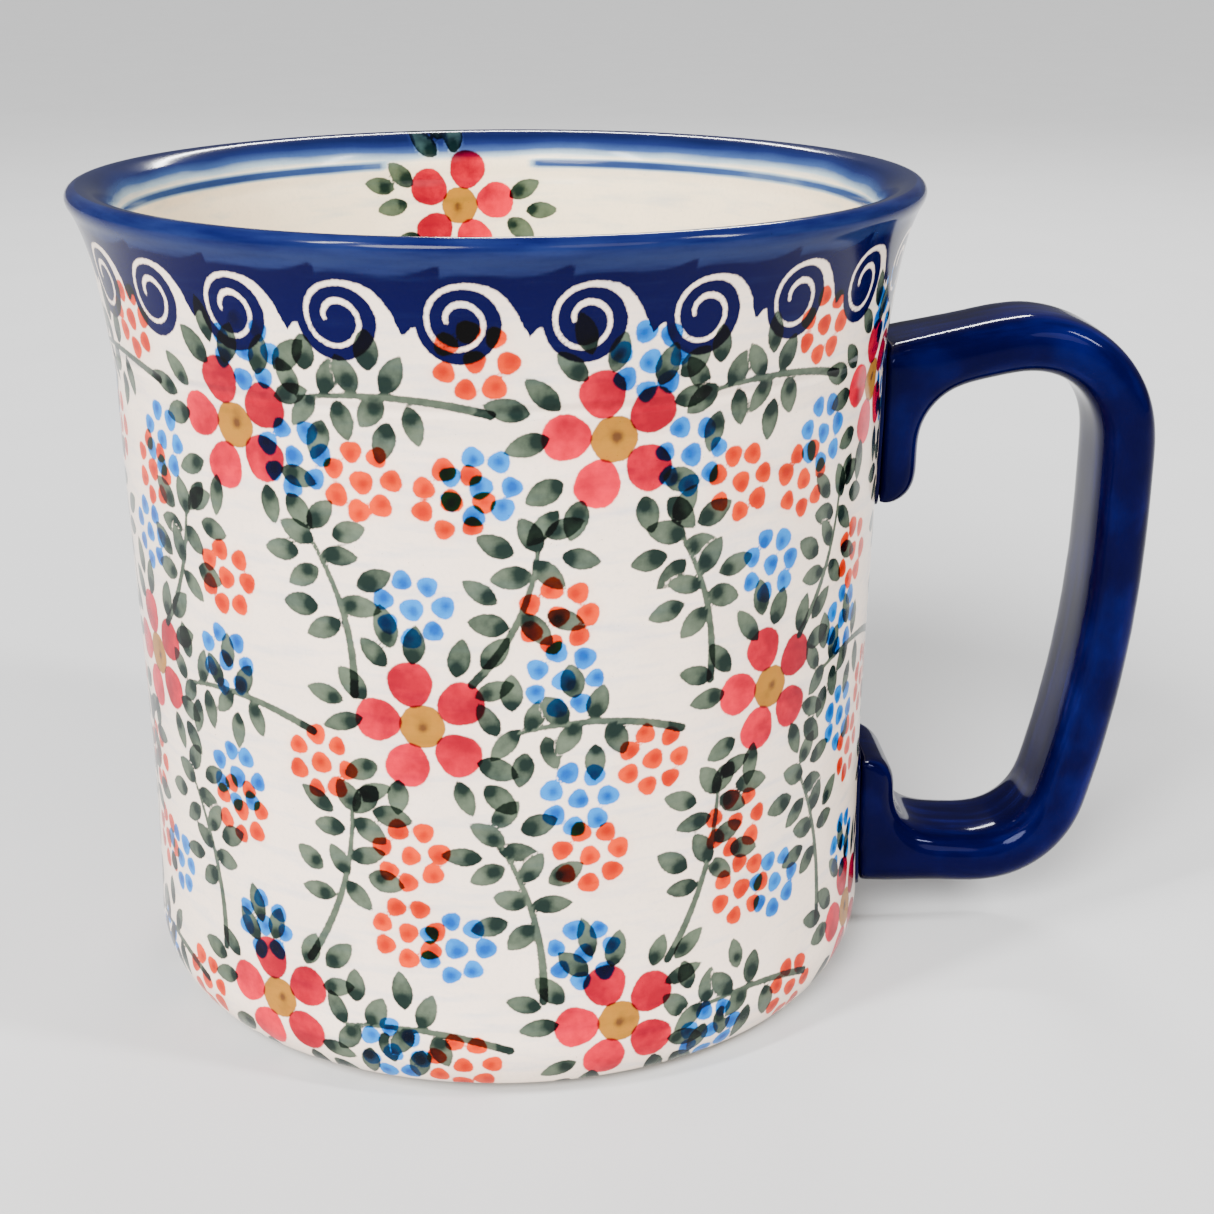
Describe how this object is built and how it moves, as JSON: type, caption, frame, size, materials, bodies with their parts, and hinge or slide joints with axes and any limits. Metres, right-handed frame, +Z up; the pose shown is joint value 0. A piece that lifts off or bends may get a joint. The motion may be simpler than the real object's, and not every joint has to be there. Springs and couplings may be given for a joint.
{
  "type": "stoneware mug",
  "caption": "Straight-sided stoneware mug with a flared collar, rounded lip and foot ring, and a strap handle luted to the wall, for holding a hot drink.",
  "frame": {"origin": "centre of the foot ring on the plane that the mug rests on", "axes": "+Z up along the cup's axis, +X towards the handle, -Y the painted front"},
  "size_m": [0.1303, 0.1, 0.098],
  "materials": {
    "clay": "matte",
    "slip": "gloss",
    "painted_glaze": "gloss",
    "cream_glaze": "gloss",
    "cobalt_glaze": "gloss"
  },
  "bodies": {
    "root": {"cup_body": "clay", "handle": "clay", "upper_slip_joint": "slip", "lower_slip_joint": "slip", "outer_glaze": "painted_glaze", "inner_glaze": "cream_glaze", "base_glaze": "cream_glaze", "handle_glaze": "cobalt_glaze"}
  },
  "joints": []
}
